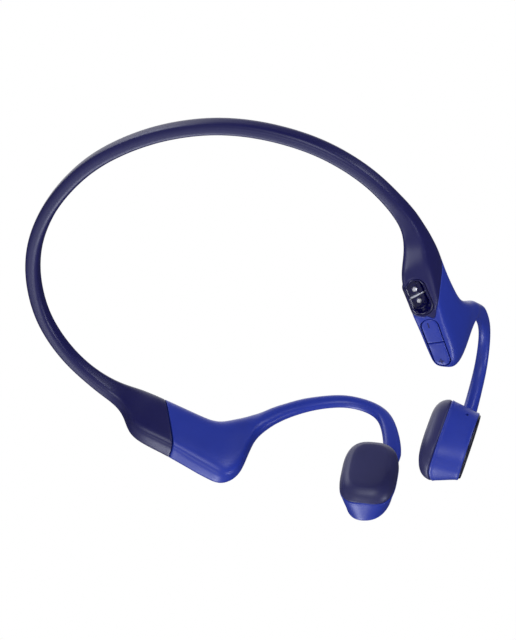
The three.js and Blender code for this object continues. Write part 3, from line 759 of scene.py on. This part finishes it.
# Profiles of the transducer, as dish_rings takes them.
PAD_EDGE = [
    (0.9, 0.9, 0.1, 1, 0), (0.2, 0.2, 0.07, 1, 0), (0.0, 0.0, 0.35, 0.9, 0),
    (0.1, 0.1, 0.9, 0.6, 0), (0.45, 0.5, 1.75, 0.3, 0), (1.0, 1.1, 2.5, 0.12, 0),
    (1.7, 1.85, 3.1, 0, 0), (2.35, 2.55, 3.5, 0, 0), (2.8, 3.05, 3.71, 0, 0), (3.3, 3.6, 3.8, 0, 0),
]
PAD_FACE = [(4.6, 5.2, 3.8, 0, 0), (6.6, 8.6, 3.8, 0, 0)]
CUP_SIDE = [
    (0.9, 0.9, -0.04, 1, 0), (0.2, 0.2, -0.04, 1, 0), (0.0, 0.0, -0.22, 0.95, 0),
    (0.12, 0.1, -1.2, 0.7, 0.1), (0.5, 0.42, -3.7, 0.25, 0.4), (0.95, 0.75, -5.9, 0.05, 0.75),
    (1.3, 1.0, -7.6, 0, 0.95), (1.42, 1.1, -8.4, 0, 1), (1.5, 1.18, -8.55, 0, 1),
    (1.62, 1.3, -8.58, 0, 1), (1.72, 1.4, -8.5, 0, 1), (1.75, 1.43, -8.2, 0, 1),
    (1.8, 1.48, -7.8, 0, 1), (2.4, 2.1, -7.75, 0, 1),
]
COVER_EDGE = [
    (2.6, 2.3, -8.2, 0, 1), (2.1, 1.78, -8.2, 0, 1), (1.93, 1.61, -8.33, 0, 1),
    (1.92, 1.6, -8.8, 0, 1), (2.0, 1.68, -8.98, 0, 1), (2.3, 2.0, -9.08, 0, 1),
]
COVER_FACE = [(4.0, 5.0, -9.1, 0, 1), (6.4, 8.6, -9.1, 0, 1)]


for side in (RIGHT, LEFT):
    name = NAME[side]
    pad_profile = np.vstack([smooth_profile(PAD_EDGE, 34), PAD_FACE])
    pad = dish(f"{name}_pad_skin", side, pad_profile, PAD)
    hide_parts(f"{name}_ear_pad")
    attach(pad, f"{name}_earpiece")

    housing = dish(f"{name}_housing", side, smooth_profile(CUP_SIDE, 56), BLUE)
    if side == RIGHT:
        cut(housing, mic_bar("tool", MIC_RADIUS, -MIC_REACH, MIC_REACH))
        mic_mesh = mic_bar("mic_mesh", MIC_RADIUS - 0.02, *MIC_MESH)
        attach(mic_mesh, "right_earpiece")
    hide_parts(f"{name}_cup")
    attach(housing, f"{name}_earpiece")

    cover_profile = np.vstack([smooth_profile(COVER_EDGE, 16), COVER_FACE])
    cover = dish(f"{name}_cover_plate", side, cover_profile, COVER)
    if side == RIGHT:
        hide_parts("right_outer_cover")
        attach(cover, "right_earpiece")
    else:
        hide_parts("left_button_cover")
        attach(cover, "multifunction_button")


# ---- Studio ------------------------------------------------------------------------------------

CAMERA_TARGET = Vector(tuple((ORIGIN + [-2.94, 66.549, 2.345]) * MM))
CAMERA_AZIMUTH = math.radians(24.95)
CAMERA_BELOW = math.radians(43.01)
CAMERA_ROLL = math.radians(26.03)
CAMERA_DISTANCE = 734.4 * MM
CAMERA_LENS = 146.25
SENSOR = 36


def make_camera():
    data = bpy.data.cameras.new("camera")
    data.lens = CAMERA_LENS
    data.sensor_width = SENSOR
    camera = bpy.data.objects.new("camera", data)
    away = Vector((math.cos(CAMERA_AZIMUTH) * math.cos(CAMERA_BELOW),
                   -math.sin(CAMERA_AZIMUTH) * math.cos(CAMERA_BELOW), -math.sin(CAMERA_BELOW)))
    camera.location = CAMERA_TARGET + away * CAMERA_DISTANCE
    turn = (-away).to_track_quat("-Z", "Y").to_matrix().to_4x4()
    camera.rotation_mode = "QUATERNION"
    camera.rotation_quaternion = (turn @ Matrix.Rotation(CAMERA_ROLL, 4, "Z")).to_quaternion()
    data.clip_start, data.clip_end = 0.01, 20
    bpy.context.scene.collection.objects.link(camera)
    bpy.context.scene.camera = camera
    return away


away = make_camera()


def area_light(name, direction, distance, size, power, color):
    data = bpy.data.lights.new(name, "AREA")
    data.shape = "DISK"
    data.size = size
    data.energy = power
    data.color = color
    light = bpy.data.objects.new(name, data)
    direction = Vector(direction).normalized()
    light.location = CAMERA_TARGET + direction * distance
    light.rotation_mode = "QUATERNION"
    light.rotation_quaternion = direction.to_track_quat("Z", "Y")
    bpy.context.scene.collection.objects.link(light)


COOL = (0.84, 0.87, 1.0)
# Direction from the part, distance and size in metres, power in watts.
LIGHTS = {
    "front_light": (away + Vector((0.1, -0.2, 0.1)), 1.0, 0.5, 3.4),
    "rear_light": ((-0.3, -0.9, 0.4), 0.9, 0.35, 1.8),
    "low_light": ((-0.1, 0.0, -1.0), 0.9, 0.35, 1.0),
    "chin_light": ((-0.65, 0.42, -0.45), 0.9, 0.35, 2.4),
    "side_light": ((0.9, 0.0, 0.35), 0.9, 0.35, 1.8),
    "ridge_light": ((0.5, 0.85, -0.15), 0.9, 0.25, 1.8),
}
for name, (direction, distance, size, power) in LIGHTS.items():
    area_light(name, direction, distance, size, power, COOL)


# The sky is a soft light from above, a little to one side, and looks plain white to the camera.
SKY_MIDDLE = Vector((-0.38, -0.25, 0.9)).normalized()
SKY_EDGE = (0.7, 0.97)
SKY_STRENGTH = (0.05, 1.45)
WHITE = (1, 1, 1, 1)


def make_world():
    world = bpy.data.worlds.new("studio")
    world.use_nodes = True
    nodes, links = world.node_tree.nodes, world.node_tree.links
    where = nodes.new("ShaderNodeTexCoord")
    dot = nodes.new("ShaderNodeVectorMath")
    dot.operation = "DOT_PRODUCT"
    dot.inputs[1].default_value = SKY_MIDDLE
    links.new(where.outputs["Generated"], dot.inputs[0])
    ramp = nodes.new("ShaderNodeMapRange")
    ramp.interpolation_type = "SMOOTHSTEP"
    ramp.inputs["From Min"].default_value, ramp.inputs["From Max"].default_value = SKY_EDGE
    ramp.inputs["To Min"].default_value, ramp.inputs["To Max"].default_value = SKY_STRENGTH
    links.new(dot.outputs["Value"], ramp.inputs["Value"])
    lit = nodes["Background"]
    lit.inputs["Color"].default_value = WHITE
    links.new(ramp.outputs["Result"], lit.inputs["Strength"])
    seen = nodes.new("ShaderNodeBackground")
    seen.inputs["Strength"].default_value = 1
    seen.inputs["Color"].default_value = WHITE
    path = nodes.new("ShaderNodeLightPath")
    choose = nodes.new("ShaderNodeMixShader")
    links.new(path.outputs["Is Camera Ray"], choose.inputs["Fac"])
    links.new(lit.outputs["Background"], choose.inputs[1])
    links.new(seen.outputs["Background"], choose.inputs[2])
    links.new(choose.outputs["Shader"], nodes["World Output"].inputs["Surface"])
    bpy.context.scene.world = world


make_world()


FLOOR_HALF = 6.0
FLOOR_HEIGHT = -1.2


def make_floor():
    """A pale matt floor, far enough below that the camera stands above it."""
    mesh = bpy.data.meshes.new("floor")
    signs = [(-1, -1), (1, -1), (1, 1), (-1, 1)]
    corners = [(x * FLOOR_HALF, y * FLOOR_HALF, FLOOR_HEIGHT) for x, y in signs]
    mesh.from_pydata(corners, [], [(0, 1, 2, 3)])
    floor = bpy.data.objects.new("floor", mesh)
    mesh.materials.append(material("pale_floor", srgb(225, 225, 225), 0.8, mottle=0.01))
    bpy.context.scene.collection.objects.link(floor)


make_floor()
bpy.context.scene.view_settings.view_transform = "Standard"
